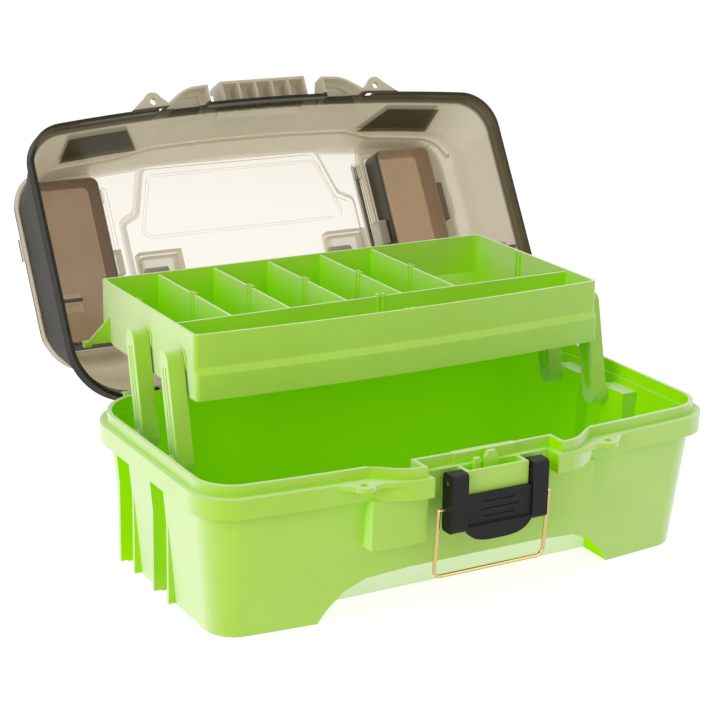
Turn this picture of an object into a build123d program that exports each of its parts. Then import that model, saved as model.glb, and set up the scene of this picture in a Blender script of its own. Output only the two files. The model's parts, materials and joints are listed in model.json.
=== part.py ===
from build123d import *
import math
import os

# Tackle box with a hinged lid, two top-access doors and one lifting tray.
# Millimetres, +Z up, front towards -Y. Origin on the ground under the middle of the tub.
# The lid group is drawn closed and then swung open; the tray is drawn raised.

# Tub
RIM_HALF_LENGTH = 186.0
RIM_HALF_DEPTH = 95.8
FRONT_BOW = 10.6
LEDGE_Z = 94.0
LIP_TOP_Z = 100.9
BAND_BOTTOM_Z = 81.5
WALL = 2.5
WALL_INSET = 6.0
DRAFT_INSET = 7.6
LIP_INSET = 4.4
FLOOR_Z = 3.0
FRONT_RADIUS = 28.0
REAR_RADIUS = 40.0
EAR_X = 88.8
EAR_Y = -109.1
EAR_HOLE_RADIUS = 2.6
FLANGE_FRONT_Y = -117.5
GROOVE_CENTRES_Y = (-10.5, 42.5)
GROOVE_HALF_WIDTH = 10.0
GROOVE_DEPTH = 11.0
POST_TOP_Z = 88.0

# Lid
HINGE_Y = 94.35
HINGE_Z = 97.0
LID_OPEN_DEG = 120.0
LID_BOTTOM_Z = 94.6
LID_WALL = 2.4
HINGE_X = 141.0
DOOR_HINGE_X = 107.5
DOOR_HINGE_Z = LEDGE_Z + 92.6
BIN_FLOOR_Z = LEDGE_Z + 66.0
HANDLE_Y = -8.0
HANDLE_Z = LEDGE_Z + 89.5
HANDLE_HANG_DEG = 150.0
WELL_FLOOR_Z = LEDGE_Z + 86.5

# Latch
LEVER_Y = -115.0
LEVER_Z = 87.5
BAIL_Y = -115.0
BAIL_Z = 71.0
BAIL_LENGTH = 45.0
BAIL_HALF_WIDTH = 40.2
BAIL_LEAN = 3.7
BAIL_RADIUS = 1.25

# Tray and arms
TRAY_HALF_LENGTH = 150.8
TRAY_FRONT_Y = -5.5
TRAY_BOW = 5.8
TRAY_REAR_Y = 143.9
TRAY_BOTTOM_Z = 124.5
TRAY_TOP_Z = 166.5
TRAY_WALL = 2.0
TRAY_FLARE = 3.0
TRAY_ROW_Y = 29.2
DIVIDER_TOP_Z = 165.1
DIVIDER_PITCH = 41.8
ARM_UPPER = (66.5, 146.4)
ARM_LOWER = (52.0, 83.5)
ARM_SPACING = 53.0
ARM_INNER_X = 152.2
ARM_OUTER_X = 163.2
ARM_HALF_WIDTH = 6.5
PIN_RADIUS = 2.4


def plan(half_length, front_y, rear_y, bow, front_r, rear_r):
    """Rounded plan outline whose front edge bows outwards."""
    a = half_length
    edges = [
        ThreePointArc((-a, front_y), (0, front_y - bow), (a, front_y)),
        Line((a, front_y), (a, rear_y)),
        Line((a, rear_y), (-a, rear_y)),
        Line((-a, rear_y), (-a, front_y)),
    ]
    face = make_face(edges)
    face = fillet(face.vertices().sort_by(Axis.Y)[:2], front_r)
    return fillet(face.vertices().sort_by(Axis.Y)[-2:], rear_r)


def rim_plan(inset):
    """Plan outline of the tub rim moved inwards by a distance."""
    return plan(
        RIM_HALF_LENGTH - inset,
        inset - RIM_HALF_DEPTH,
        RIM_HALF_DEPTH - inset,
        FRONT_BOW,
        FRONT_RADIUS - inset * 0.6,
        REAR_RADIUS - inset * 0.6,
    )


def stack(sections):
    """Straight-sided body through a list of (z, plan) sections."""
    return loft([Pos(0, 0, z) * face for z, face in sections], ruled=True)


def prism(face, z0, z1):
    """Vertical body between two heights."""
    return extrude(Pos(0, 0, z0) * face, z1 - z0)


def block(x0, x1, y0, y1, z0, z1):
    """Box given by its limits."""
    size = Box(abs(x1 - x0), abs(y1 - y0), abs(z1 - z0))
    return Pos((x0 + x1) / 2, (y0 + y1) / 2, (z0 + z1) / 2) * size


def side_prism(points, x0, x1):
    """Body with a constant profile, given as (y, z) points, along X."""
    face = make_face(Polyline(*[(0, y, z) for y, z in points], close=True))
    return extrude(Pos(x0, 0, 0) * face, x1 - x0, dir=(1, 0, 0))


def front_prism(points, y0, y1):
    """Body with a constant profile, given as (x, z) points, along Y."""
    face = make_face(Polyline(*[(x, 0, z) for x, z in points], close=True))
    return extrude(Pos(0, y0, 0) * face, y1 - y0, dir=(0, 1, 0))


def flat_prism(points, z0, z1):
    """Body with a constant plan, given as (x, y) points."""
    return prism(make_face(Polyline(*points, close=True)), z0, z1)


def x_rod(x0, x1, y, z, radius):
    """Round rod along X."""
    return Pos((x0 + x1) / 2, y, z) * Rot(0, 90, 0) * Cylinder(radius, abs(x1 - x0))


def y_rod(y0, y1, x, z, radius):
    """Round rod along Y."""
    return Pos(x, (y0 + y1) / 2, z) * Rot(90, 0, 0) * Cylinder(radius, abs(y1 - y0))


def both_ends(body):
    """A body and its mirror image across the middle plane."""
    return body + mirror(body, Plane.YZ)


# ---------------------------------------------------------------- tub

def wall_inset(z):
    """Inset of the outer wall face at a height."""
    return WALL_INSET + DRAFT_INSET * (1 - min(z, BAND_BOTTOM_Z) / BAND_BOTTOM_Z)


def arch_relief(grow):
    """Arched undercut between the front feet."""
    half = [(0, 29), (48, 28.4), (77, 26), (92, 19.5), (103, 8), (109, -1)]
    right = [(x + grow, z + grow) for x, z in half[1:]]
    left = [(-x, z) for x, z in right]
    arch = front_prism(left[::-1] + [(0, 29 + grow)] + right, -130, -40)
    wedge = side_prism([(-130, 32 + grow), (-96, 32 + grow), (-62 + grow, -1), (-130, -1)], -130, 130)
    return arch & wedge


def bulge_half(x0, front_y):
    """Right half of the rim bulge beside the latch."""
    return make_face([
        Line((x0, -85), (x0, front_y)),
        Line((x0, front_y), (57, front_y + 0.8)),
        Spline((57, front_y + 0.8), (67, front_y + 4.2), (78, front_y + 11.5), (88, -101)),
        Line((88, -101), (88, -85)),
        Line((88, -85), (x0, -85)),
    ])


def ear_half(x0, front_y, ear_r):
    """Right half of the flat front flange with its padlock ear."""
    plate = make_face(Polyline(
        (x0, -85), (x0, front_y), (58, front_y + 0.8), (70, front_y + 3.4), (78, front_y + 6.0),
        (EAR_X - 5, EAR_Y - 3.6), (EAR_X + 5, EAR_Y - 2.0), (107, -100), (107, -85), close=True))
    return plate + Pos(EAR_X, EAR_Y) * Circle(ear_r)


def surround_half(inset):
    """Right half of the raised latch surround, which sweeps back behind the ear."""
    return make_face([
        Line((48.8 + inset, -88), (48.8 + inset, -115.3 + inset)),
        Line((48.8 + inset, -115.3 + inset), (57, -114.5 + inset)),
        Spline((57, -114.5 + inset), (66, -111 + inset), (76 - inset, -103), (84 - inset, -98)),
        Line((84 - inset, -98), (84 - inset, -88)),
        Line((84 - inset, -88), (48.8 + inset, -88)),
    ])


def tub_outside():
    """Drafted tub body with rim band, lip, front flange and pads."""
    walls = stack([(0, rim_plan(wall_inset(0))), (BAND_BOTTOM_Z, rim_plan(WALL_INSET))])
    band = prism(rim_plan(0), BAND_BOTTOM_Z, LEDGE_Z)
    lip = prism(rim_plan(LIP_INSET), LEDGE_Z, LIP_TOP_Z)
    bulge = both_ends(prism(bulge_half(45.0, FLANGE_FRONT_Y), BAND_BOTTOM_Z, LEDGE_Z))
    ears = both_ends(prism(ear_half(45.0, FLANGE_FRONT_Y, 6.4), LEDGE_Z - 3.0, LEDGE_Z))
    flange = bulge + ears
    surround = both_ends(prism(surround_half(0), BAND_BOTTOM_Z, LIP_TOP_Z))
    reach = stack([(40, rim_plan(-0.6)), (BAND_BOTTOM_Z, rim_plan(-2.2))])
    pads = both_ends(block(43.5, 81, -125, -80, 48.5, BAND_BOTTOM_Z)) & reach
    return walls - arch_relief(0) + band + lip + flange + surround + pads


def tub_inside():
    """Hollow of the tub, its lip and the latch surround."""
    low = stack([
        (FLOOR_Z, rim_plan(wall_inset(FLOOR_Z) + WALL)),
        (BAND_BOTTOM_Z, rim_plan(WALL_INSET + WALL)),
    ])
    high = prism(rim_plan(WALL_INSET + WALL), BAND_BOTTOM_Z, LEDGE_Z)
    mouth = prism(rim_plan(LIP_INSET + WALL), LEDGE_Z - 1.5, LIP_TOP_Z + 1)
    surround = both_ends(prism(surround_half(2.4), BAND_BOTTOM_Z + 2.5, LIP_TOP_Z + 1))
    reach = stack([(40, rim_plan(1.9)), (BAND_BOTTOM_Z, rim_plan(0.3))])
    pads = both_ends(block(46, 78.5, -125, -80, 51, BAND_BOTTOM_Z + 3)) & reach
    return low - arch_relief(WALL) + high + mouth + surround + pads


def skirt_gap():
    """Open gap under the ledge between the wall and the rim band."""
    ring = prism(rim_plan(2.2), BAND_BOTTOM_Z - 1, LEDGE_Z - 2.5)
    ring -= prism(rim_plan(WALL_INSET + 0.01), BAND_BOTTOM_Z - 2, LEDGE_Z)
    return ring - block(-112, 112, -130, -60, 70, 100)


def end_grooves():
    """Two upright grooves in each end wall."""
    body = None
    for y in GROOVE_CENTRES_Y:
        cut = block(176 - GROOVE_DEPTH + 3, 200, y - GROOVE_HALF_WIDTH, y + GROOVE_HALF_WIDTH, -5, 79.5)
        body = cut if body is None else body + cut
    return both_ends(body)


def end_posts():
    """Inner posts behind the grooves, with a round seat for each arm."""
    body = None
    half = GROOVE_HALF_WIDTH + WALL
    for y in GROOVE_CENTRES_Y:
        post = block(165.5, 177.5, y - half, y + half, 1, POST_TOP_Z)
        body = post if body is None else body + post
    for y in arm_positions(ARM_LOWER[0]):
        body += x_rod(163.7, 168, y, ARM_LOWER[1], 6.2)
    return both_ends(body)


def lower_pin_holes():
    """Holes for the lower arm pins in the posts."""
    body = None
    for y in arm_positions(ARM_LOWER[0]):
        hole = x_rod(163, 167.9, y, ARM_LOWER[1], PIN_RADIUS)
        body = hole if body is None else body + hole
    return both_ends(body)


def latch_pocket():
    """Open pocket on the front that carries the latch lever."""
    shell = block(-22.5, 22.5, -117.5, -98, 72, LEDGE_Z) - block(-20, 20, -115.3, -103.2, 75, 99)
    tongue = front_prism([(-5, 74), (5, 74), (5, 98), (2.5, 102), (-2.5, 102), (-5, 98)], -110.4, -107.4)
    nub = block(-12.4, -8.3, -110.4, -107.4, 74, 98.5)
    rear = block(-22.5, 22.5, -102.8, -98, 72, LIP_TOP_Z)
    return shell + tongue + nub + rear


def tub_hinge_station(x0, x1):
    """One upright hinge eye on the rear ledge."""
    eye = x_rod(x0, x1, HINGE_Y, HINGE_Z, 4.8)
    return eye + block(x0, x1, HINGE_Y - 4.4, HINGE_Y + 4.4, LEDGE_Z - 2, HINGE_Z)


def base_tub():
    body = tub_outside() - tub_inside() - skirt_gap()
    body += end_posts()
    body -= end_grooves()
    body += latch_pocket()
    body -= lower_pin_holes()
    eyes = tub_hinge_station(HINGE_X - 16, HINGE_X - 10) + tub_hinge_station(HINGE_X + 10, HINGE_X + 16)
    body += both_ends(eyes)
    body -= both_ends(x_rod(HINGE_X - 9.6, HINGE_X + 9.6, HINGE_Y, HINGE_Z, 5.4))
    body -= both_ends(x_rod(HINGE_X - 17, HINGE_X + 17, HINGE_Y, HINGE_Z, 1.9))
    body -= both_ends(Pos(EAR_X, EAR_Y, LEDGE_Z) * Cylinder(EAR_HOLE_RADIUS, 60))
    body -= x_rod(-24, 24, LEVER_Y, LEVER_Z, 1.6)
    return body


# ---------------------------------------------------------------- lid

LID_SECTIONS = (
    (0.6, 186.0, -95.8, 95.8, 28.0, 40.0),
    (10.0, 186.0, -95.8, 95.8, 28.0, 40.0),
    (12.0, 184.0, -94.0, 91.0, 27.0, 38.0),
    (46.0, 178.0, -84.5, 74.0, 26.0, 34.0),
    (74.0, 174.0, -84.0, 56.5, 25.0, 28.0),
    (85.0, 171.0, -84.0, 48.0, 24.0, 24.0),
    (90.0, 166.0, -81.0, 43.0, 20.0, 20.0),
)


def lid_form(inset, z_drop, count, bow=FRONT_BOW):
    """Lid body through the first sections, moved inwards and down."""
    sections = []
    for z, half, front, rear, r1, r2 in LID_SECTIONS[:count]:
        face = plan(half - inset, front + inset, rear - inset, bow, r1 - inset * 0.5, r2 - inset * 0.5)
        sections.append((LEDGE_Z + z - z_drop, face))
    return stack(sections)


def lid_bulge_half(inset):
    """Right half of the lid bulge that covers the latch surround."""
    x0 = 45.4 + inset
    y0 = FLANGE_FRONT_Y - 1.2 + inset
    x1 = 89 - inset
    return make_face([
        Line((x0, -85), (x0, y0)),
        Line((x0, y0), (57, y0 + 0.8)),
        Spline((57, y0 + 0.8), (67, y0 + 4.2), (78 - inset * 0.5, y0 + 11.5), (x1, -100.5)),
        Line((x1, -100.5), (x1, -85)),
        Line((x1, -85), (x0, -85)),
    ])


def lid_ear_half():
    """Right padlock ear of the lid, a flat plate that runs out into the rim."""
    plate = make_face(Polyline(
        (77.5, -107.0), (83.6, -112.6), (94.2, -112.6), (108, -101.8), (104, -98), (87, -98), close=True))
    return plate + Pos(EAR_X, EAR_Y) * Circle(6.6)


def lid_flange():
    """Hollow front bulges of the lid, each with a padlock ear and a curved inner step."""
    top = [(-98, 20), (-109, 17), (-117.8, 12.0), (-119.4, 0.6), (-80, 0.6), (-80, 20)]
    roof = side_prism([(y, LEDGE_Z + z) for y, z in top], -112, 112)
    hollow = side_prism([(y + 1.8, LEDGE_Z + z - 2.2) for y, z in top], -112, 112)
    outer = prism(lid_bulge_half(0), LID_BOTTOM_Z, LEDGE_Z + 20) & roof
    inner = prism(lid_bulge_half(1.8), LID_BOTTOM_Z - 1, LEDGE_Z + 20) & hollow
    step = prism(lid_bulge_half(1.7) - lid_bulge_half(5.2), LEDGE_Z + 8.8, LEDGE_Z + 20)
    ear = prism(lid_ear_half(), LID_BOTTOM_Z, LEDGE_Z + 3.8)
    return both_ends(outer - inner + (step & outer) + ear)


def lid_catch():
    """Ribbed catch that the bail wire hooks over."""
    profile = [(-94, 4), (-121.4, 4), (-122.2, 17), (-121.6, 24), (-118, 24), (-117.4, 20.6), (-112.4, 20.6),
               (-110, 23), (-94, 26)]
    solid = side_prism([(y, LEDGE_Z + z) for y, z in profile], -33.5, 33.5)
    cells = None
    for i in range(5):
        x = -26.4 + 13.2 * i
        half = 5.6
        cell = block(x - half, x + half, -119.4, -92, LEDGE_Z, LEDGE_Z + 17.5)
        cells = cell if cells is None else cells + cell
    return solid - cells


def handle_well(grow, corner):
    """Plan of the shallow recess for the folded handle, grown outwards."""
    half = [(70, -87), (81, -52), (93, -46.5), (93, 7)]
    points = [(x + grow, y + math.copysign(grow, y)) for x, y in half]
    outline = Polyline(*(points + [(-x, y) for x, y in points[::-1]]), close=True)
    return fillet(make_face(outline).vertices(), corner)


def lid_openings():
    """Openings for the bins, the handle recess and its pivots."""
    bins = both_ends(block(114.0, 164.6, -80.4, 41.0, LEDGE_Z + 60, LEDGE_Z + 100))
    well = stack([(WELL_FLOOR_Z, handle_well(0, 4)), (LEDGE_Z + 91, handle_well(2.4, 6))])
    pivots = both_ends(block(63, 90, -19, 4, LEDGE_Z + 76, LEDGE_Z + 100))
    hinge_slot = both_ends(block(103.6, 110.5, -78, 43, LEDGE_Z + 89.2, LEDGE_Z + 100))
    return bins + well + pivots + hinge_slot


def lid_ridge_band():
    """Band that steps up from the middle of the front wall to the bins."""
    half = [(79, 44.5), (104, 56.5), (172, 58.5)]
    lower = [(x, LEDGE_Z + z - 1.8) for x, z in half]
    upper = [(x, LEDGE_Z + z + 1.8) for x, z in half]
    right = lower + upper[::-1]
    left = [(-x, z) for x, z in right[::-1]]
    return front_prism(right + left, -104, -66)


def lid_window():
    """Raised outline of the window in the middle of the handle recess."""
    outer = fillet(make_face(Polyline((70, -82), (85, -34), (-85, -34), (-70, -82), close=True)).vertices(), 7)
    inner = fillet(make_face(Polyline((68, -80.2), (82.6, -35.8), (-82.6, -35.8), (-68, -80.2),
                                      close=True)).vertices(), 6)
    return prism(outer - inner, WELL_FLOOR_Z - 3.9, WELL_FLOOR_Z - 2.5)


def lid_inner_details():
    """Handle recess walls, pivot bosses, door hinge seats and lifting lugs."""
    well = stack([(WELL_FLOOR_Z - 3.0, handle_well(1.2, 5)), (LEDGE_Z + 88.4, handle_well(5.6, 8))])
    bosses = both_ends(block(60, 93, -22, 6.5, LEDGE_Z + 73.5, LEDGE_Z + 89))
    hinge_seat = both_ends(block(102.0, 112.0, -76, 41, LEDGE_Z + 86.6, LEDGE_Z + 89))
    knuckle_box = both_ends(block(106, 113, -26, -8, LEDGE_Z + 74, LEDGE_Z + 89))
    lugs = both_ends(block(164.5, 182.5, 16, 28, LEDGE_Z + 18.5, LEDGE_Z + 21))
    webs = both_ends(block(166.5, 182.5, 20.8, 23.2, LEDGE_Z + 11, LEDGE_Z + 19))
    ridge = (lid_form(1.0, 0, 7) & lid_ridge_band()) - lid_form(4.6, 0, 7)
    return (well + lid_window() + bosses + hinge_seat + knuckle_box + lugs + webs) & lid_form(1.0, 0.5, 7), ridge


def lid_eye_notch():
    """Clearance in the rear wall around the hinge eyes."""
    notch = block(HINGE_X - 16.6, HINGE_X + 16.6, 84, 110, LEDGE_Z - 2, LEDGE_Z + 9.6)
    return both_ends(notch)


def lid_flange_notch():
    """Clearance in the front wall for the latch surround of the tub."""
    return both_ends(block(47.2, 86.0, -110, -98, LEDGE_Z - 2, LEDGE_Z + 8.2) & lid_form(-0.1, 0, 2))


def lid_eye():
    """Lid hinge eye hanging from the rear wall."""
    eye = x_rod(HINGE_X - 9.2, HINGE_X + 9.2, HINGE_Y, HINGE_Z, 4.8)
    web = block(HINGE_X - 9.2, HINGE_X + 9.2, 92.0, 95.8, HINGE_Z, LEDGE_Z + 10.2)
    return both_ends(eye + web)


def door_eye(x_side, y0, y1, radius):
    """Barrel of a door hinge along Y."""
    return y_rod(y0, y1, x_side * DOOR_HINGE_X, DOOR_HINGE_Z, radius)


def lid_door_eyes():
    """Fixed barrels that hold the door rods."""
    body = None
    for y0, y1 in ((-76, -66), (28, 38)):
        barrel = door_eye(1, y0, y1, 2.9) + block(104.6, 110.4, y0, y1, LEDGE_Z + 88, DOOR_HINGE_Z)
        body = barrel if body is None else body + barrel
    return both_ends(body)


def lid_hollow():
    """Inside of the lid skin."""
    return lid_form(LID_WALL, LID_WALL, 7) + prism(rim_plan(LID_WALL), LEDGE_Z - 5, LEDGE_Z + 10)


def lid_closed():
    skin = lid_form(0, 0, 7) - lid_hollow()
    details, ridge = lid_inner_details()
    body = skin + ridge
    body += details
    body += (lid_flange() + lid_catch()) - lid_hollow()
    body -= lid_openings()
    body -= lid_flange_notch()
    body -= lid_eye_notch()
    body += lid_eye()
    body += lid_door_eyes()
    body -= both_ends(door_eye(1, -80, 45, 1.4))
    body -= both_ends(x_rod(HINGE_X - 18, HINGE_X + 18, HINGE_Y, HINGE_Z, 2.0))
    body -= both_ends(Pos(EAR_X, EAR_Y, LEDGE_Z) * Cylinder(EAR_HOLE_RADIUS, 60))
    body -= both_ends(x_rod(58, 95, HANDLE_Y, HANDLE_Z, 1.9))
    return body


def open_lid(body):
    """Swing a lid part from closed to its open rest position."""
    return Pos(0, HINGE_Y, HINGE_Z) * Rot(-LID_OPEN_DEG, 0, 0) * Pos(0, -HINGE_Y, -HINGE_Z) * body


def lid_shell():
    return open_lid(lid_closed())


def lid_hinge_pins():
    """Hinge rods, one at each end of the rear edge."""
    return both_ends(x_rod(HINGE_X - 16, HINGE_X + 16, HINGE_Y, HINGE_Z, 1.9))


def bin_right_closed():
    """Shallow bin hanging in the lid under a top-access door."""
    tub = block(114.3, 162.0, -80.0, 40.6, BIN_FLOOR_Z, LEDGE_Z + 87.4)
    tub = fillet(tub.edges().filter_by(Axis.Z), 6)
    tub = fillet(tub.edges().group_by(Axis.Z)[0], 4)
    hollow = block(116.1, 160.2, -78.2, 38.8, BIN_FLOOR_Z + 1.8, LEDGE_Z + 95)
    hollow = fillet(hollow.edges().filter_by(Axis.Z), 4.5)
    catch_box = block(161.0, 167.0, -50, -20, BIN_FLOOR_Z + 3, LEDGE_Z + 80)
    catch_box -= block(150, 165.4, -48.4, -21.6, BIN_FLOOR_Z + 4.6, LEDGE_Z + 90)
    return tub + catch_box - hollow


def bin_right():
    return open_lid(bin_right_closed())


def bin_left():
    return open_lid(mirror(bin_right_closed(), Plane.YZ))


def door_form(inset, z_drop):
    """Capping form that follows the end of the lid."""
    rows = (
        (77.0, 176.6, -87.0, 57.6, 27.0, 30.0),
        (85.6, 174.2, -86.8, 51.0, 26.0, 26.0),
        (92.0, 169.6, -84.4, 47.4, 23.0, 23.0),
        (95.4, 160.0, -76.0, 38.0, 16.0, 16.0),
    )
    sections = []
    for z, half, front, rear, r1, r2 in rows:
        face = plan(half - inset, front + inset, rear - inset, FRONT_BOW, r1 - inset, r2 - inset)
        sections.append((LEDGE_Z + z - z_drop, face))
    return stack(sections)


def door_right_closed():
    """Top-access door: a cap with a skirt, hinged on its inner edge."""
    keep = block(111.0, 190, -110, 80, LEDGE_Z + 70, LEDGE_Z + 110)
    shell = (door_form(0, 0) - door_form(1.9, 1.9)) & keep
    shell -= block(100, 113.5, -110, 80, LEDGE_Z + 70, LEDGE_Z + 90.6)
    panel = block(120, 158, -62, 32, LEDGE_Z + 94.6, LEDGE_Z + 96.2)
    panel = fillet(panel.edges().filter_by(Axis.Z), 8)
    barrel = door_eye(1, -65.4, 27.4, 2.9)
    leaf = block(DOOR_HINGE_X, 112.4, -65.4, 27.4, DOOR_HINGE_Z + 0.8, DOOR_HINGE_Z + 2.8)
    pull = block(175.0, 178.2, -42, -26, LEDGE_Z + 77.4, LEDGE_Z + 79.4)
    body = shell + panel + leaf + barrel + pull
    return body - door_eye(1, -80, 45, 1.5)


def door_right():
    return open_lid(door_right_closed())


def door_left():
    return open_lid(mirror(door_right_closed(), Plane.YZ))


def door_hinge_pins():
    """Hinge rod of each top-access door."""
    return open_lid(both_ends(door_eye(1, -75.5, 37.5, 1.4)))


def handle_folded():
    """Wide bail handle folded forward into the lid recess."""
    low = WELL_FLOOR_Z + 0.4
    high = low + 9.6
    outer = [(62, -85), (71, -81.5), (80, -50), (84, -40), (84, HANDLE_Y), (68, HANDLE_Y), (68, -36), (60, -54),
             (56, -60)]
    ring = flat_prism(outer + [(-x, y) for x, y in outer[::-1]], low, high)
    ring = chamfer(ring.edges().group_by(Axis.Z)[-1], 1.2)
    grip = block(-52, 52, -84, -61.5, low + 1.0, high + 1.2)
    grip = fillet(grip.edges().filter_by(Axis.Z), 5)
    eyes = both_ends(x_rod(68, 84, HANDLE_Y, HANDLE_Z, 5.6))
    body = ring + grip + eyes
    return body - both_ends(x_rod(60, 90, HANDLE_Y, HANDLE_Z, 2.0))


def handle():
    centre = Pos(0, HANDLE_Y, HANDLE_Z)
    back = Pos(0, -HANDLE_Y, -HANDLE_Z)
    return open_lid(centre * Rot(-HANDLE_HANG_DEG, 0, 0) * back * handle_folded())


def handle_pins():
    """Handle pivot pins."""
    return open_lid(both_ends(x_rod(60.4, 92.6, HANDLE_Y, HANDLE_Z, 1.9)))


# ---------------------------------------------------------------- latch

def latch_lever():
    """Draw-latch lever: two cheeks, a plate with three grooves and a finger tab."""
    side = Pos(23.5, 0, 0) * extrude(fillet(make_face(Polyline(
        (0, -110.2, 56.4), (0, -110.2, 94.3), (0, -121.8, 94.3), (0, -121.8, 56.4), close=True)).vertices(), 2.6), 11.5,
        dir=(1, 0, 0))
    plate = block(-24, 24, -120.4, -117.9, 57, 79.5)
    tab_face = Plane.XZ * make_face([
        Spline((-24.5, 57.5), (-18, 51.2), (0, 48.6), (18, 51.2), (24.5, 57.5)),
        Line((24.5, 57.5), (24.5, 60)),
        Line((24.5, 60), (-24.5, 60)),
        Line((-24.5, 60), (-24.5, 57.5)),
    ])
    tab = Pos(0, -118.2, 0) * extrude(tab_face, 2.6)
    lower_rail = block(-24, 24, -122.0, -118, 57.4, 59.6)
    body = both_ends(side) + plate + tab + lower_rail
    for i, half in enumerate((11, 14, 11)):
        z = 64.5 + 4.8 * i
        body -= block(-half, half, -121, -119.7, z - 0.45, z + 0.45)
    body -= x_rod(-40, 40, LEVER_Y, LEVER_Z, 1.7)
    body -= both_ends(x_rod(28, 40, BAIL_Y, BAIL_Z, BAIL_RADIUS + 0.1))
    return body


def latch_pin():
    """Pin of the latch lever."""
    return x_rod(-34.4, 34.4, LEVER_Y, LEVER_Z, 1.6)


def bail_wire():
    """Bent wire bail hanging from the lever cheeks."""
    w = BAIL_HALF_WIDTH
    low = BAIL_Z - BAIL_LENGTH
    back = BAIL_Y + BAIL_LEAN
    path = Polyline((29, BAIL_Y, BAIL_Z), (w, BAIL_Y, BAIL_Z), (w, back, low), (-w, back, low),
                    (-w, BAIL_Y, BAIL_Z), (-29, BAIL_Y, BAIL_Z))
    corners = path.vertices().filter_by(lambda v: v.Z < BAIL_Z - 5)
    path = fillet(corners, 5.0)
    wire = Wire(path.edges())
    section = Plane(origin=(29, BAIL_Y, BAIL_Z), z_dir=(1, 0, 0)) * Circle(BAIL_RADIUS)
    return sweep(section, path=wire, transition=Transition.ROUND)


# ---------------------------------------------------------------- tray and arms

def arm_positions(rear_y):
    """Y positions of the front and rear arm pivots."""
    return (rear_y - ARM_SPACING, rear_y)


def tray_plan(inset, proud=0.0):
    return plan(TRAY_HALF_LENGTH - inset, TRAY_FRONT_Y + inset - proud, TRAY_REAR_Y - inset, TRAY_BOW, 3.0, 4.0)


def tray_outside():
    """Tray body with a thicker lower front band and a cut-back rear bottom edge."""
    body = prism(tray_plan(0), TRAY_BOTTOM_Z, TRAY_TOP_Z)
    body += prism(tray_plan(0, TRAY_FLARE), TRAY_BOTTOM_Z, TRAY_BOTTOM_Z + 16.5)
    body += stack([(TRAY_BOTTOM_Z + 16.5, tray_plan(0, TRAY_FLARE)), (TRAY_BOTTOM_Z + 20.5, tray_plan(0, 0.01))])
    rear_cut = [(123, TRAY_BOTTOM_Z - 1), (123, TRAY_BOTTOM_Z), (135, TRAY_BOTTOM_Z + 4), (143.9, TRAY_BOTTOM_Z + 14),
                (150, TRAY_BOTTOM_Z + 14), (150, TRAY_BOTTOM_Z - 1)]
    return body - side_prism(rear_cut, -160, 160)


def tray_inside():
    """Hollows of the front row and the rear row."""
    floor = TRAY_BOTTOM_Z + TRAY_WALL
    hollow = prism(tray_plan(TRAY_WALL), floor, TRAY_TOP_Z + 1)
    rear_fill = [(122, floor - 1), (122, floor), (134, floor + 4), (143.9, floor + 14.5), (150, floor + 14.5),
                 (150, floor - 1)]
    return hollow - side_prism(rear_fill, -160, 160)


def slot_ribs(x, y, along_y):
    """Pair of small upright ribs that form a divider slot."""
    z0 = TRAY_BOTTOM_Z + TRAY_WALL
    body = None
    for offset in (-2.1, 2.1):
        if along_y:
            rib = block(x - 1.7, x + 1.7, y + offset - 0.8, y + offset + 0.8, z0, TRAY_TOP_Z)
        else:
            rib = block(x + offset - 0.8, x + offset + 0.8, y - 1.7, y + 1.7, z0, TRAY_TOP_Z)
        body = rib if body is None else body + rib
    return body


def tray_partitions():
    """Lengthwise wall, five cross walls and the divider slots."""
    z0 = TRAY_BOTTOM_Z + 1
    half = TRAY_HALF_LENGTH - 1
    body = block(-half, half, TRAY_ROW_Y - 0.9, TRAY_ROW_Y + 0.9, z0, DIVIDER_TOP_Z)
    mid_y = (TRAY_ROW_Y + TRAY_REAR_Y) / 2
    for i in range(1, 6):
        x = DIVIDER_PITCH * i - TRAY_HALF_LENGTH
        body += block(x - 0.9, x + 0.9, TRAY_ROW_Y, TRAY_REAR_Y - 1, z0 + 14, DIVIDER_TOP_Z)
        body += block(x - 0.9, x + 0.9, TRAY_ROW_Y, 123, z0, z0 + 15)
        body += side_prism([(122, z0), (122, z0 + 15), (143, z0 + 15), (134, z0 + 5)], x - 0.9, x + 0.9)
        body += slot_ribs(x, mid_y, True)
    body += slot_ribs(TRAY_WALL - TRAY_HALF_LENGTH, mid_y, True) & block(-149.5, 0, 0, 150, 120, 180)
    body += slot_ribs(TRAY_HALF_LENGTH - TRAY_WALL, mid_y, True) & block(0, 149.5, 0, 150, 120, 180)
    body += slot_ribs(0, TRAY_ROW_Y, False)
    front_rib = slot_ribs(0, TRAY_FRONT_Y - TRAY_BOW + TRAY_WALL, False)
    return body + (front_rib & block(-9, 9, -10.6, 0, 120, 180))


def tray_wing():
    """End wing that the lid lug lifts: gusset, shelf and down-turned tab."""
    x0 = TRAY_HALF_LENGTH - 1
    z0 = TRAY_BOTTOM_Z
    gusset = front_prism([(x0, z0 + 1.5), (169, z0 + 1.5), (x0, z0 + 20)], 128.6, 130.6)
    shelf = block(x0, 169, 128.6, 134, z0 + 1.5, z0 + 3.5)
    tab = block(163.8, 169, 129.6, 134, z0 - 0.4, z0 + 2)
    return gusset + shelf + tab


def tray():
    body = tray_outside() - tray_inside()
    body += tray_partitions()
    seats = None
    holes = None
    for y in arm_positions(ARM_UPPER[0]):
        seat = x_rod(149.5, 151.9, y, ARM_UPPER[1], 8.0)
        hole = x_rod(149.4, 153, y, ARM_UPPER[1], PIN_RADIUS)
        seats = seat if seats is None else seats + seat
        holes = hole if holes is None else holes + hole
    body += both_ends(seats + tray_wing())
    return body - both_ends(holes)


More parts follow.
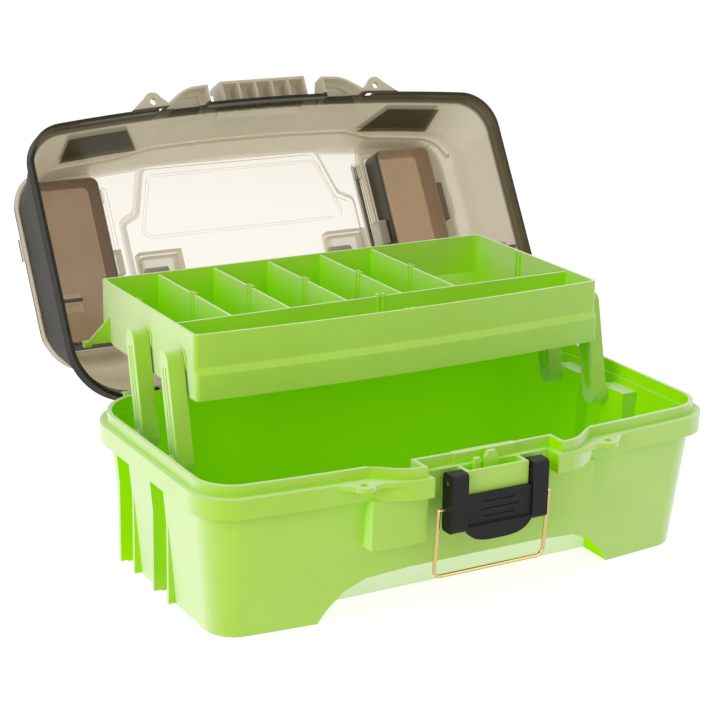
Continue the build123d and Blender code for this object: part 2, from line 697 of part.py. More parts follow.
def arm_body(x_sign, upper, lower):
    """Channel-section arm between two pivots; the channel faces the tray."""
    dy = upper[0] - lower[0]
    dz = upper[1] - lower[1]
    length = math.hypot(dy, dz)
    lean = math.degrees(math.atan2(dz, dy))
    thick = ARM_OUTER_X - ARM_INNER_X
    bar = Box(thick, length, 2 * ARM_HALF_WIDTH)
    body = bar + Pos(0, length / 2, 0) * Rot(0, 90, 0) * Cylinder(ARM_HALF_WIDTH, thick)
    body += Pos(0, -length / 2, 0) * Rot(0, 90, 0) * Cylinder(ARM_HALF_WIDTH, thick)
    inner = thick / 2
    channel = Pos(-inner, 0, 0) * Box(14, length - 15, 6.6)
    body -= channel
    body -= Pos(-inner, (15 - length) / 2, 0) * Rot(0, 90, 0) * Cylinder(3.3, 14)
    for offset in (-1.9, 1.9):
        body -= Pos(inner, 0, offset) * Box(1.4, length - 8, 1.3)
    body -= Pos(-inner + 4.2, length / 2, 0) * Rot(0, 90, 0) * Cylinder(PIN_RADIUS + 0.1, 9)
    body -= Pos(inner - 4.2, -length / 2, 0) * Rot(0, 90, 0) * Cylinder(PIN_RADIUS + 0.1, 9)
    body = Pos(0, (upper[0] + lower[0]) / 2, (upper[1] + lower[1]) / 2) * Rot(lean, 0, 0) * body
    body = Pos((ARM_INNER_X + ARM_OUTER_X) / 2, 0, 0) * body
    return body if x_sign > 0 else mirror(body, Plane.YZ)


def front_pivot(point):
    return (point[0] - ARM_SPACING, point[1])


def arm_left_rear():
    return arm_body(-1, ARM_UPPER, ARM_LOWER)


def arm_left_front():
    return arm_body(-1, front_pivot(ARM_UPPER), front_pivot(ARM_LOWER))


def arm_right_rear():
    return arm_body(1, ARM_UPPER, ARM_LOWER)


def arm_right_front():
    return arm_body(1, front_pivot(ARM_UPPER), front_pivot(ARM_LOWER))


def arm_lower_pins():
    """Pins between the end posts and the lower arm eyes."""
    body = None
    for y in arm_positions(ARM_LOWER[0]):
        pin = x_rod(155.0, 167.8, y, ARM_LOWER[1], PIN_RADIUS)
        body = pin if body is None else body + pin
    return both_ends(body)


def arm_upper_pins():
    """Pins between the tray ends and the upper arm eyes."""
    body = None
    for y in arm_positions(ARM_UPPER[0]):
        pin = x_rod(149.5, 160.2, y, ARM_UPPER[1], PIN_RADIUS)
        body = pin if body is None else body + pin
    return both_ends(body)


PARTS = {
    "base_tub": base_tub,
    "lid_shell": lid_shell,
    "lid_hinge_pins": lid_hinge_pins,
    "bin_left": bin_left,
    "bin_right": bin_right,
    "door_left": door_left,
    "door_right": door_right,
    "door_hinge_pins": door_hinge_pins,
    "handle": handle,
    "handle_pins": handle_pins,
    "latch_lever": latch_lever,
    "latch_pin": latch_pin,
    "bail_wire": bail_wire,
    "tray": tray,
    "arm_left_front": arm_left_front,
    "arm_left_rear": arm_left_rear,
    "arm_right_front": arm_right_front,
    "arm_right_rear": arm_right_rear,
    "arm_lower_pins": arm_lower_pins,
    "arm_upper_pins": arm_upper_pins,
}

os.makedirs("parts", exist_ok=True)
for name, make in PARTS.items():
    export_step(make(), "parts/" + name + ".step")
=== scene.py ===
import json
import math

import bpy
from mathutils import Matrix, Vector


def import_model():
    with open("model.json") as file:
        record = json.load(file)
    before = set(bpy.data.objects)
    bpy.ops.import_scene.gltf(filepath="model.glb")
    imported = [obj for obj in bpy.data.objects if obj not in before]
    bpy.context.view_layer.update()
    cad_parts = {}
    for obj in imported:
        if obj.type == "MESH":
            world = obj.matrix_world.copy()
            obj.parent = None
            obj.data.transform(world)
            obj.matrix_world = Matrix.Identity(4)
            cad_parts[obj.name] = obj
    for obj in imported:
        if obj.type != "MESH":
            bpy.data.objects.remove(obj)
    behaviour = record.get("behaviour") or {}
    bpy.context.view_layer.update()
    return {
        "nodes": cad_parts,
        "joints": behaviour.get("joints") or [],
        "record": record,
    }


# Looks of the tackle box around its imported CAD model. Metres, +Z up, latch side towards -Y.
# Tones are linear; colour() makes them from display values.

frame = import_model()
nodes = frame["nodes"]

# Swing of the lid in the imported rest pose, and the ledge of the tub that the closed lid sits on
joints = {joint["name"]: joint for joint in frame["joints"]}
LID_AXIS = Vector(joints["lid_hinge"]["pos_m"])
LID_OPEN = math.radians(120.0)
LEDGE = 0.094


# ---------------------------------------------------------------- node helpers

class Shader:
    """A material's node tree with short ways to add nodes."""

    def __init__(self, name):
        self.material = bpy.data.materials.new(name)
        self.material.use_nodes = True
        self.tree = self.material.node_tree
        self.tree.nodes.clear()
        self.output = self.tree.nodes.new("ShaderNodeOutputMaterial")

    def add(self, kind, settings=None, **inputs):
        """Adds a node, sets its properties and inputs, and returns it."""
        node = self.tree.nodes.new("ShaderNode" + kind)
        for key, value in (settings or {}).items():
            setattr(node, key, value)
        for key, value in inputs.items():
            self.feed(node, key.replace("_", " "), value)
        return node

    def feed(self, node, socket, value):
        """Sets or links one input of a node, by its name or its number."""
        self.feed_socket(node.inputs[int(socket) if socket.isdigit() else socket], value)

    def feed_socket(self, socket, value):
        """Links a socket to another node's output, or sets it to a plain value."""
        if isinstance(value, bpy.types.NodeSocket):
            self.tree.links.new(value, socket)
        else:
            socket.default_value = value

    def math(self, operation, a, b):
        """Sum, product or other arithmetic of two values."""
        node = self.add("Math", {"operation": operation})
        self.feed(node, "0", a)
        self.feed(node, "1", b)
        return node.outputs[0]

    def product(self, first, *others):
        """Product of several values."""
        for other in others:
            first = self.math("MULTIPLY", first, other)
        return first

    def absolute(self, value):
        """Size of a value without its sign."""
        return self.math("ABSOLUTE", value, 0.0)

    def opposite(self, value):
        """One minus a value."""
        return self.math("SUBTRACT", 1.0, value)

    def vector_math(self, operation, a, b, output="Vector"):
        """Sum, difference or dot product of two vectors."""
        node = self.add("VectorMath", {"operation": operation})
        self.feed(node, "0", a)
        self.feed(node, "1", b)
        return node.outputs[output]

    def ramp(self, value, limits, out_low=0.0, out_high=1.0):
        """Smooth change from one output to another as a value goes between two limits."""
        node = self.add("MapRange", {"interpolation_type": "SMOOTHSTEP"}, Value=value, From_Min=limits[0],
                        From_Max=limits[1], To_Min=out_low, To_Max=out_high)
        return node.outputs["Result"]

    def below(self, value, limits):
        """One below both limits and zero above them."""
        return self.ramp(value, limits, 1.0, 0.0)

    def mix_colour(self, factor, a, b):
        """Colour a where the factor is 0, and b where it is 1."""
        node = self.add("Mix", {"data_type": "RGBA"})
        wanted = {("Factor", "VALUE"): factor, ("A", "RGBA"): a, ("B", "RGBA"): b}
        for socket in node.inputs:
            if (socket.name, socket.type) in wanted:
                self.feed_socket(socket, wanted[socket.name, socket.type])
        return [socket for socket in node.outputs if socket.type == "RGBA"][0]

    def mix_shader(self, factor, first, second):
        """First shader where the factor is 0, and the second where it is 1."""
        node = self.add("MixShader")
        self.feed(node, "0", factor)
        self.feed(node, "1", first)
        self.feed(node, "2", second)
        return node.outputs[0]

    def noise(self, scale, detail=2.0, roughness=0.5):
        """Noise in the rest frame of the part, in metres."""
        place = self.add("TexCoord").outputs["Object"]
        node = self.add("TexNoise", Vector=place, Scale=scale, Detail=detail, Roughness=roughness)
        return node.outputs["Fac"]

    def bump(self, height, strength, distance, normal=None):
        """Surface direction bent by a height."""
        node = self.add("Bump", Height=height, Strength=strength, Distance=distance)
        if normal is not None:
            self.feed(node, "Normal", normal)
        return node.outputs["Normal"]

    def turned_shut(self, vector):
        """A direction on the open lid, turned as the lid turns when it closes."""
        return self.add("VectorRotate", {"rotation_type": "X_AXIS"}, Vector=vector, Angle=LID_OPEN).outputs[0]

    def closed_lid_place(self):
        """Place on the lid as if it were closed, in metres, as separate x, y and z."""
        arm = self.vector_math("SUBTRACT", self.add("TexCoord").outputs["Object"], tuple(LID_AXIS))
        place = self.vector_math("ADD", self.turned_shut(arm), tuple(LID_AXIS))
        return self.add("SeparateXYZ", Vector=place).outputs

    def closed_lid_normal(self):
        """Surface direction on the lid as if it were closed, as separate x, y and z."""
        normal = self.turned_shut(self.add("TexCoord").outputs["Normal"])
        return self.add("SeparateXYZ", Vector=normal).outputs

    def finish(self, surface):
        """Ends the material with its surface, and returns it."""
        self.tree.links.new(surface, self.output.inputs["Surface"])
        return self.material


def colour(red, green, blue):
    """Linear colour from display values between 0 and 255."""
    def linear(value):
        value /= 255.0
        return value / 12.92 if value <= 0.04045 else ((value + 0.055) / 1.055) ** 2.4
    return (linear(red), linear(green), linear(blue), 1.0)


# ---------------------------------------------------------------- shared shading

# Part of a noise's range that a ramp is spread over, and full range of a mask
NOISE_MIDDLE = (0.3, 0.7)
FULL_RANGE = (0.0, 1.0)


def facing(s):
    """Cosine between a surface and the direction it is seen from."""
    place = s.add("NewGeometry").outputs
    cosine = s.vector_math("DOT_PRODUCT", place["Normal"], place["Incoming"], "Value")
    return s.math("MINIMUM", s.absolute(cosine), 1.0)


def slant_share(s, cosine, share, power):
    """Share that grows towards a slanting view: of the painted pale sheen on green plastic, and of the glossy
    shine on clear plastic.
    """
    return s.product(s.math("POWER", s.opposite(cosine), power), share)


def away_from(s, centre):
    """Positive where a surface faces away from a centre point, negative where it faces it, in metres."""
    rest = s.add("TexCoord").outputs
    arm = s.vector_math("SUBTRACT", rest["Object"], centre)
    return s.vector_math("DOT_PRODUCT", arm, rest["Normal"], "Value")


# ---------------------------------------------------------------- green plastic

# Painted shade in hollows: where ambient occlusion is high (and, for the tub, on faces turned to its centre)
# the green turns deeper and saturated, glows green and loses its shine.
TUB_SHADE_CENTRE = (0.0, 0.0, 0.05)
GREEN_A = (0.315, 0.545, 0.022, 1)
GREEN_B = (0.335, 0.575, 0.030, 1)
GREEN_HOLLOW_SHADE = (0.34, 0.66, 0.003, 1)
GREEN_PAINTED_GLOW = (0.030, 0.125, 0.0, 1)
GREEN_PAINTED_SHEEN = (0.93, 0.96, 0.84, 1)
HOLLOW_SHADE_REACH = 0.055
HOLLOW_SHADE_SAMPLES = 4
HOLLOW_SHADE_OPENNESS = (0.20, 0.78)
INSIDE_SHADE_DISTANCE = (-0.040, -0.015)
GREEN_MOTTLE_SCALE = 28.0
GREEN_PEEL_SCALE = 330.0
GREEN_GRAIN_SCALE = 1400.0
GREEN_GRAIN_MIDDLE = (0.25, 0.75)
GREEN_ROUGHNESS = (0.36, 0.48)
GREEN_PEEL_BUMP = (0.05, 0.0004)
GREEN_GRAIN_BUMP = (0.10, 0.0002)
GREEN_SPECULAR = 0.42
# Painted sheen: a pale diffuse mixed over the green more as the view slants, standing in for white reflection
# at grazing angles.
SHEEN_SHARE = 0.80
SHEEN_POWER = 1.6
SHEEN_SHARE_MOST = 0.60
SHEEN_SHADE_FADE = (0.0, 0.7)


def green_plastic(name, centre):
    """Moulded lime green, with painted sheen and painted shade: a pale sheen is painted where it is seen at a
    slant, and hollows get a painted shade that is deep and saturated, with a green glow.

    With a centre point, the faces turned towards it get the painted hollow shade as well.
    """
    s = Shader(name)
    mottle = s.noise(GREEN_MOTTLE_SCALE)
    peel = s.noise(GREEN_PEEL_SCALE)
    grain = s.noise(GREEN_GRAIN_SCALE)
    # Painted shade mask: ambient occlusion, and for the tub the faces turned towards its centre point.
    hollow = s.add("AmbientOcclusion", {"samples": HOLLOW_SHADE_SAMPLES, "only_local": True}, Distance=HOLLOW_SHADE_REACH)
    hollow_shade = s.below(hollow.outputs["AO"], HOLLOW_SHADE_OPENNESS)
    if centre is not None:
        hollow_shade = s.math("MAXIMUM", hollow_shade, s.below(away_from(s, centre), INSIDE_SHADE_DISTANCE))
    open_tone = s.mix_colour(s.ramp(mottle, NOISE_MIDDLE), GREEN_A, GREEN_B)
    normal = s.bump(peel, *GREEN_PEEL_BUMP, s.bump(grain, *GREEN_GRAIN_BUMP))
    body = s.add("BsdfPrincipled", Base_Color=s.mix_colour(hollow_shade, open_tone, GREEN_HOLLOW_SHADE),
                 Roughness=s.ramp(grain, GREEN_GRAIN_MIDDLE, *GREEN_ROUGHNESS), Normal=normal)
    # Painted shade: the shine fades out and a green emission glow is added where the hollow shade mask is
    # high.
    s.feed(body, "Specular IOR Level", s.ramp(hollow_shade, FULL_RANGE, GREEN_SPECULAR, 0.0))
    s.feed(body, "Emission Color", GREEN_PAINTED_GLOW)
    s.feed(body, "Emission Strength", hollow_shade)
    # Painted sheen: pale diffuse mixed in by the slant of the view, faded out where the hollow shade is
    # painted.
    pale = s.add("BsdfDiffuse", Color=GREEN_PAINTED_SHEEN, Normal=normal)
    share = s.math("MINIMUM", slant_share(s, facing(s), SHEEN_SHARE, SHEEN_POWER), SHEEN_SHARE_MOST)
    share = s.product(share, s.below(hollow_shade, SHEEN_SHADE_FADE))
    return s.finish(s.mix_shader(share, body.outputs[0], pale.outputs[0]))


# ---------------------------------------------------------------- see-through plastic

# Box that the closed lid group roughly fills: middle and half size along x, y and z
LID_BOX = ((0.0, 0.178), (-0.008, 0.085), (LEDGE + 0.040, 0.045))
OUTER_FACE_REACH = 0.62
# Painted shade on the outer faces of the lid group: a dark veil, its share and less shine, for the darkness
# seen through the layered walls.
OUTSIDE_PAINTED_SHADE = colour(46, 45, 40)
OUTSIDE_SHADE_SHARE = 0.70
OUTSIDE_SHADE_POWER = 0.42
OUTSIDE_SHADE_MOST = 0.96
OUTSIDE_SHINE = 0.35
VEIL_SHARE_POWER = 0.6
VEIL_SHARE_MOST = 0.9
CLEAR_GRAIN_SCALE = 2400.0
CLEAR_GRAIN_BUMP = (0.05, 0.0001)
CLEAR_CLOUD_SCALE = 45.0
CLEAR_CLOUD_SHARE = (0.94, 1.06)
CLEAR_ROUGHNESS = 0.35
SLANT_COSINE_LEAST = 0.3
SHINE_SHARE = 0.30
SHINE_POWER = 2.5
SHINE_SHARE_LEAST = 0.025


def lid_outwards(s):
    """One on the outer faces of the lid group, zero on the faces turned to its inside."""
    total = 0.0
    for place, normal, (middle, half) in zip(s.closed_lid_place(), s.closed_lid_normal(), LID_BOX):
        offset = s.math("DIVIDE", s.math("SUBTRACT", place, middle), half)
        total = s.math("ADD", s.product(offset, normal), total)
    return s.math("GREATER_THAN", total, OUTER_FACE_REACH)


def clear_plastic(s, tone, share, veil_tone, glow_tone, painted_outside_shade):
    """Tinted see-through plastic with a frosted veil; painted shade makes its outside darker and less clear.
    """
    normal = s.bump(s.noise(CLEAR_GRAIN_SCALE), *CLEAR_GRAIN_BUMP)
    cosine = facing(s)
    front = s.opposite(s.add("NewGeometry").outputs["Backfacing"])
    # Painted shade mask: outer front faces of the lid group, scaled by the last argument.
    shaded_outside = s.product(lid_outwards(s), front, painted_outside_shade)
    slant = s.math("DIVIDE", 1.0, s.math("MAXIMUM", cosine, SLANT_COSINE_LEAST))
    clear = s.add("BsdfTransparent", Color=s.add("Gamma", Color=tone, Gamma=slant).outputs[0])
    veil = s.add("BsdfDiffuse", Color=s.mix_colour(shaded_outside, veil_tone, OUTSIDE_PAINTED_SHADE), Normal=normal)
    glow = s.add("BsdfTranslucent", Color=s.mix_colour(shaded_outside, glow_tone, OUTSIDE_PAINTED_SHADE))
    frosted = s.mix_shader(0.5, veil.outputs[0], glow.outputs[0])
    cloudy = s.product(share, s.ramp(s.noise(CLEAR_CLOUD_SCALE), NOISE_MIDDLE, *CLEAR_CLOUD_SHARE))
    inner_share = s.product(cloudy, s.math("POWER", slant, VEIL_SHARE_POWER))
    inner_share = s.math("MINIMUM", inner_share, VEIL_SHARE_MOST)
    outer_share = s.product(s.math("POWER", slant, OUTSIDE_SHADE_POWER), OUTSIDE_SHADE_SHARE)
    outer_share = s.math("MINIMUM", outer_share, OUTSIDE_SHADE_MOST)
    veil_share = s.math("MAXIMUM", inner_share, s.product(shaded_outside, outer_share))
    body = s.mix_shader(veil_share, clear.outputs[0], frosted)
    shine = s.add("BsdfGlossy", Color=(1, 1, 1, 1), Roughness=CLEAR_ROUGHNESS, Normal=normal)
    shine_share = s.math("ADD", slant_share(s, cosine, SHINE_SHARE, SHINE_POWER), SHINE_SHARE_LEAST)
    shine_share = s.product(shine_share, front, s.ramp(shaded_outside, FULL_RANGE, 1.0, OUTSIDE_SHINE))
    return s.finish(s.mix_shader(shine_share, body, shine.outputs[0]))


# ---------------------------------------------------------------- smoke lid plastic

VEIL = colour(230, 222, 205)
VEIL_LOW = colour(206, 197, 178)
VEIL_GLOW = colour(236, 228, 210)
# Painted shade: dark veil of the rim skirt band and the two front patches.
SKIRT_PAINTED_SHADE = colour(84, 76, 54)
WALL_LOW_TONE = (0.87, 0.84, 0.785, 1)
WALL_HIGH_TONE = (0.91, 0.885, 0.835, 1)
PANEL_TONE = (0.945, 0.928, 0.890, 1)
# Painted shade tints: darker rim skirt and the two front patches.
SKIRT_SHADE_TONE = (0.60, 0.56, 0.45, 1)
PATCH_SHADE_TONE = (0.40, 0.36, 0.24, 1)
WALL_SHARE = 0.26
LOW_WALL_SHARE = WALL_SHARE + 0.06
PANEL_SHARE = 0.02
LATCH_PARTS_SHARE = 0.45

# Zones of the closed lid: each pair is where a change starts and ends. Reach is the distance from the middle
# plane, and slope is how level a surface lies.
PANEL_HEIGHT = (LEDGE + 0.0812, LEDGE + 0.0826)
PANEL_REACH = (0.1125, 0.1135)
PANEL_SLOPE = (0.80, 0.97)
SKIRT_HEIGHT = (LEDGE + 0.0105, LEDGE + 0.0125)
RIDGE_REACH = (0.079, 0.104)
RIDGE_HEIGHT = (LEDGE + 0.0445, LEDGE + 0.0565)
RIDGE_EDGE = (-0.001, 0.003)
RIM_HALF_WIDTH = 0.186
RIM_BOW = 0.0106
RIM_FRONT = 0.1070
RIM_EDGE = (-0.0004, 0.0)
LATCH_PARTS_HEIGHT = (LEDGE + 0.026, LEDGE + 0.030)
PATCH_LEAN = 0.55
PATCH_INNER_REACH = (0.1145, 0.1165)
PATCH_OUTER_REACH = (0.148, 0.150)
PATCH_BOTTOM = (LEDGE + 0.018, LEDGE + 0.0195)
PATCH_TOP = (LEDGE + 0.046, LEDGE + 0.048)
PATCH_DEPTH = (-0.082, -0.076)


def top_panel_zone(s, reach, z):
    """Flat middle of the lid top, between the two doors."""
    slope = s.absolute(s.closed_lid_normal()[2])
    return s.product(s.ramp(z, PANEL_HEIGHT), s.below(reach, PANEL_REACH), s.ramp(slope, PANEL_SLOPE))


def above_ridge_zone(s, reach, z):
    """Wall above the stepped ridge, which rises towards the ends of the lid."""
    ridge = s.ramp(reach, RIDGE_REACH, *RIDGE_HEIGHT)
    return s.ramp(s.math("SUBTRACT", z, ridge), RIDGE_EDGE)


def latch_parts_zone(s, x, y, z):
    """Catch and padlock ears, which stand out past the bowed front of the rim."""
    bow = s.product(s.math("POWER", s.math("DIVIDE", x, RIM_HALF_WIDTH), 2.0), RIM_BOW)
    past_rim = s.math("SUBTRACT", y, s.math("SUBTRACT", bow, RIM_FRONT))
    return s.product(s.below(past_rim, RIM_EDGE), s.below(z, LATCH_PARTS_HEIGHT))


def shade_patch_zone(s, reach, y, z):
    """Two patches of painted shade with a slanted inner end, near the corners of the front wall."""
    leaning = s.math("ADD", reach, s.product(s.math("SUBTRACT", z, LEDGE), PATCH_LEAN))
    return s.product(s.ramp(leaning, PATCH_INNER_REACH), s.below(reach, PATCH_OUTER_REACH),
                     s.ramp(z, PATCH_BOTTOM), s.below(z, PATCH_TOP), s.below(y, PATCH_DEPTH))


def smoke_plastic():
    """Smoke lid plastic: clearest on the flat top, with painted shade that darkens the rim band and two front
    patches.
    """
    s = Shader("smoke_plastic")
    x, y, z = s.closed_lid_place()
    reach = s.absolute(x)
    panel = top_panel_zone(s, reach, z)
    above = above_ridge_zone(s, reach, z)
    skirt = s.below(z, SKIRT_HEIGHT)
    latch_parts = latch_parts_zone(s, x, y, z)
    patch = shade_patch_zone(s, reach, y, z)
    tone = s.mix_colour(skirt, s.mix_colour(above, WALL_LOW_TONE, WALL_HIGH_TONE), SKIRT_SHADE_TONE)
    tone = s.mix_colour(patch, s.mix_colour(panel, tone, PANEL_TONE), PATCH_SHADE_TONE)
    share = s.ramp(panel, FULL_RANGE, s.ramp(above, FULL_RANGE, LOW_WALL_SHARE, WALL_SHARE), PANEL_SHARE)
    share = s.math("ADD", share, s.product(latch_parts, LATCH_PARTS_SHARE))
    # Painted shade mask: the skirt band away from the latch parts, and the two front patches.
    skirt_and_patch_shade = s.math("MAXIMUM", s.product(skirt, s.opposite(latch_parts)), patch)
    veil = s.mix_colour(skirt_and_patch_shade, s.mix_colour(above, VEIL_LOW, VEIL), SKIRT_PAINTED_SHADE)
    glow = s.mix_colour(skirt_and_patch_shade, VEIL_GLOW, SKIRT_PAINTED_SHADE)
    return clear_plastic(s, tone, share, veil, glow, s.opposite(latch_parts))


# ---------------------------------------------------------------- brown bin plastic

# Painted shade: upright bin walls get a darker, more veiled tone than the level floors; floor tones grow
# lighter towards +x.
BIN_SLOPE = (0.45, 0.85)
BIN_SIDES = (-0.12, 0.12)
BIN_WALL_SHADE_TONE = (0.45, 0.42, 0.31, 1)
BIN_FLOOR_TONE = (0.86, 0.77, 0.67, 1)
BIN_WALL_SHARE = 0.60
BIN_FLOOR_SHARE = 0.36
BIN_WALL_SHADE_VEIL = colour(80, 73, 50)
BIN_WALL_SHADE_GLOW = colour(84, 76, 54)
BIN_FLOOR_VEILS = (colour(150, 118, 82), colour(196, 168, 136))
BIN_FLOOR_GLOWS = (colour(176, 140, 100), colour(220, 190, 156))


def brown_smoke_plastic():
    """Brown smoke plastic of the top bins, with painted shade that makes the upright walls nearly opaque
    olive.
    """
    s = Shader("brown_smoke_plastic")
    level = s.ramp(s.absolute(s.closed_lid_normal()[2]), BIN_SLOPE)
    side = s.ramp(s.closed_lid_place()[0], BIN_SIDES)
    tone = s.mix_colour(level, BIN_WALL_SHADE_TONE, BIN_FLOOR_TONE)
    share = s.ramp(level, FULL_RANGE, BIN_WALL_SHARE, BIN_FLOOR_SHARE)
    veil = s.mix_colour(level, BIN_WALL_SHADE_VEIL, s.mix_colour(side, *BIN_FLOOR_VEILS))
    glow = s.mix_colour(level, BIN_WALL_SHADE_GLOW, s.mix_colour(side, *BIN_FLOOR_GLOWS))
    return clear_plastic(s, tone, share, veil, glow, 0.0)


# ---------------------------------------------------------------- black plastic and metal

PEBBLE_SCALE = 950.0
PEBBLE_DETAIL = 2.0
PEBBLE_SOFTNESS = 0.6
PEBBLE_TONES = (0.35, 0.7)
PEBBLE_ROUGHNESS = (0.58, 0.40)
PEBBLE_BUMP = (0.5, 0.0004)
BLACK_LOW = colour(8, 8, 9)
BLACK_HIGH = colour(22, 22, 22)
BLACK_SPECULAR = 0.24
POLISH_SCALE = 260.0
POLISH_DETAIL = 3.0
POLISH_SMOOTHEST = 0.8
POLISH_ROUGHEST = 1.25


def black_plastic():
    """Black plastic with a coarse pebbled texture."""
    s = Shader("black_plastic")
    pebble = s.noise(PEBBLE_SCALE, PEBBLE_DETAIL, PEBBLE_SOFTNESS)
    base = s.mix_colour(s.ramp(pebble, PEBBLE_TONES), BLACK_LOW, BLACK_HIGH)
    rough = s.ramp(pebble, NOISE_MIDDLE, *PEBBLE_ROUGHNESS)
    body = s.add("BsdfPrincipled", Base_Color=base, Roughness=rough, Normal=s.bump(pebble, *PEBBLE_BUMP))
    s.feed(body, "Specular IOR Level", BLACK_SPECULAR)
    return s.finish(body.outputs[0])


def metal(name, tone, rough):
    """Wire or pin metal with a faintly uneven polish."""
    s = Shader(name)
    polish = s.noise(POLISH_SCALE, POLISH_DETAIL)
    roughness = s.ramp(polish, NOISE_MIDDLE, rough * POLISH_SMOOTHEST, rough * POLISH_ROUGHEST)
    return s.finish(s.add("BsdfPrincipled", Base_Color=tone, Metallic=1.0, Roughness=roughness).outputs[0])


MATERIALS = {
    "green_plastic": green_plastic("green_plastic", None),
    "smoke_plastic": smoke_plastic(),
    "brown_smoke_plastic": brown_smoke_plastic(),
    "black_plastic": black_plastic(),
    "brass_wire": metal("brass_wire", colour(206, 180, 122), 0.24),
    "steel_pin": metal("steel_pin", colour(190, 190, 188), 0.3),
}
# The tub's green also gets painted shade on the faces turned towards its centre.
TUB_GREEN_INSIDE_SHADE = green_plastic("green_tub_inside_shade", TUB_SHADE_CENTRE)


# ---------------------------------------------------------------- pieces

WELD_DISTANCE = 0.00002
FLAT_ANGLE = math.radians(0.6)
EDGE_ANGLE = math.radians(32.0)
EDGE_SEGMENTS = 2
EDGE_WIDTHS = {
    "base_tub": 0.0007, "tray": 0.0005, "lid_shell": 0.0007, "latch_lever": 0.0006, "handle": 0.0012,
    "bin_left": 0.0004, "bin_right": 0.0004, "door_left": 0.0005, "door_right": 0.0005,
    "arm_left_front": 0.0005, "arm_left_rear": 0.0005, "arm_right_front": 0.0005, "arm_right_rear": 0.0005,
}


def paint(name, slot):
    """Gives a CAD node the material of its slot."""
    mesh = nodes[name].data
    mesh.materials.clear()
    mesh.materials.append(TUB_GREEN_INSIDE_SHADE if name == "base_tub" else MATERIALS[slot])


def round_edges(name, width):
    """Softens the edges of a CAD node with modifiers."""
    piece = nodes[name]
    weld = piece.modifiers.new("weld", "WELD")
    weld.merge_threshold = WELD_DISTANCE
    flat = piece.modifiers.new("flat", "DECIMATE")
    flat.decimate_type = "DISSOLVE"
    flat.angle_limit = FLAT_ANGLE
    bevel = piece.modifiers.new("bevel", "BEVEL")
    bevel.width = width
    bevel.segments = EDGE_SEGMENTS
    bevel.limit_method = "ANGLE"
    bevel.angle_limit = EDGE_ANGLE
    bevel.use_clamp_overlap = True
    bevel.harden_normals = False
    shade = piece.modifiers.new("shade", "WEIGHTED_NORMAL")
    shade.keep_sharp = True


for entry in frame["record"]["subparts"]:
    paint(entry["node"], entry["material_slot"])

for node_name, edge_width in EDGE_WIDTHS.items():
    round_edges(node_name, edge_width)


# ---------------------------------------------------------------- studio

FLOOR_HALF_SIZE = 6.0
FLOOR_HEIGHT = -0.0003
FLOOR_TONE = (0.40, 0.40, 0.40, 1)
FLOOR_LIFT = 0.78
SKY_LIGHT = 0.55
SKY_REFLECTED = 1.5
SKY_SEEN = 1.0
LIGHT_AIM = Vector((0, 0, 0.1))

# See-through surfaces that one ray may cross; the lid, doors and bins lie behind each other
TRANSPARENT_LAYERS = 24

# Soft square lights: name, place, side length and power in watts
LIGHTS = (
    ("key", (-1.7, -0.6, 0.9), 1.2, 18.0),
    ("fill", (0.6, -1.8, 1.2), 1.4, 5.0),
    ("top", (0.1, 0.2, 1.9), 1.6, 8.0),
)

# Camera of the reference view: angles in degrees, sensor and lens in millimetres
CAMERA_AZIMUTH = -29.74
CAMERA_ELEVATION = 17.2
CAMERA_ROLL = 1.09
CAMERA_DISTANCE = 1.24555
CAMERA_TARGET = Vector((-0.03308, 0.0, 0.13504))
CAMERA_REACH = 50.0
SENSOR = 36.0
FOCAL = 97.3


def floor():
    """Plain pale floor, lifted towards white by a glow of its own."""
    size = FLOOR_HALF_SIZE
    mesh = bpy.data.meshes.new("floor")
    corners = [(-size, -size, 0), (size, -size, 0), (size, size, 0), (-size, size, 0)]
    mesh.from_pydata(corners, [], [(0, 1, 2, 3)])
    piece = bpy.data.objects.new("floor", mesh)
    bpy.context.scene.collection.objects.link(piece)
    piece.location.z = FLOOR_HEIGHT
    s = Shader("floor")
    pale = s.add("BsdfDiffuse", Color=FLOOR_TONE)
    lift = s.add("Emission", Color=(1, 1, 1, 1), Strength=FLOOR_LIFT)
    both = s.add("AddShader")
    s.feed(both, "0", pale.outputs[0])
    s.feed(both, "1", lift.outputs[0])
    mesh.materials.append(s.finish(both.outputs[0]))


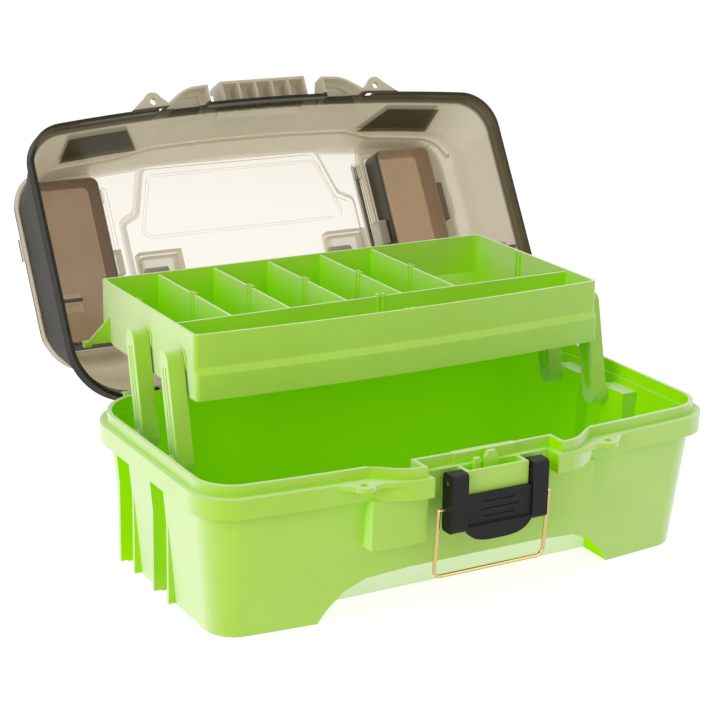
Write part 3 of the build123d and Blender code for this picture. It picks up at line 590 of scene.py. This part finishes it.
def world():
    """White surround: full white to the camera, and its own strength as a light and in reflections."""
    sky = bpy.data.worlds.new("studio")
    bpy.context.scene.world = sky
    sky.use_nodes = True
    tree = sky.node_tree
    tree.nodes.clear()
    out = tree.nodes.new("ShaderNodeOutputWorld")
    path = tree.nodes.new("ShaderNodeLightPath")
    shades = []
    for strength in (SKY_LIGHT, SKY_REFLECTED, SKY_SEEN):
        shade = tree.nodes.new("ShaderNodeBackground")
        shade.inputs["Strength"].default_value = strength
        shade.inputs["Color"].default_value = (1, 1, 1, 1)
        shades.append(shade)
    surround = shades[0]
    for shade, ray in zip(shades[1:], ("Is Glossy Ray", "Is Camera Ray")):
        mix = tree.nodes.new("ShaderNodeMixShader")
        tree.links.new(path.outputs[ray], mix.inputs[0])
        tree.links.new(surround.outputs[0], mix.inputs[1])
        tree.links.new(shade.outputs[0], mix.inputs[2])
        surround = mix
    tree.links.new(surround.outputs[0], out.inputs["Surface"])


def softbox(name, place, side, power):
    """Large soft light aimed at the box."""
    data = bpy.data.lights.new(name, "AREA")
    data.shape = "RECTANGLE"
    data.size = side
    data.size_y = side
    data.energy = power
    lamp = bpy.data.objects.new(name, data)
    bpy.context.scene.collection.objects.link(lamp)
    lamp.location = place
    lamp.rotation_euler = (LIGHT_AIM - Vector(place)).to_track_quat("-Z", "Y").to_euler()
    lamp.visible_camera = False


def camera():
    """Camera at the reference view."""
    azimuth = math.radians(CAMERA_AZIMUTH)
    elevation = math.radians(CAMERA_ELEVATION)
    roll = math.radians(CAMERA_ROLL)
    back = Vector((math.sin(azimuth) * math.cos(elevation), -math.cos(azimuth) * math.cos(elevation),
                   math.sin(elevation)))
    side = Vector((0, 0, 1)).cross(back).normalized()
    up = back.cross(side)
    right = math.cos(roll) * side + math.sin(roll) * up
    upward = -math.sin(roll) * side + math.cos(roll) * up
    data = bpy.data.cameras.new("camera")
    data.sensor_width = SENSOR
    data.lens = FOCAL
    data.clip_end = CAMERA_REACH
    piece = bpy.data.objects.new("camera", data)
    bpy.context.scene.collection.objects.link(piece)
    turn = Matrix((right, upward, back)).transposed()
    piece.matrix_world = Matrix.Translation(CAMERA_TARGET + back * CAMERA_DISTANCE) @ turn.to_4x4()
    bpy.context.scene.camera = piece


floor()
world()
for light in LIGHTS:
    softbox(*light)
camera()

view = bpy.context.scene.view_settings
view.view_transform = "Standard"
view.look = "None"
bpy.context.scene.cycles.transparent_max_bounces = TRANSPARENT_LAYERS
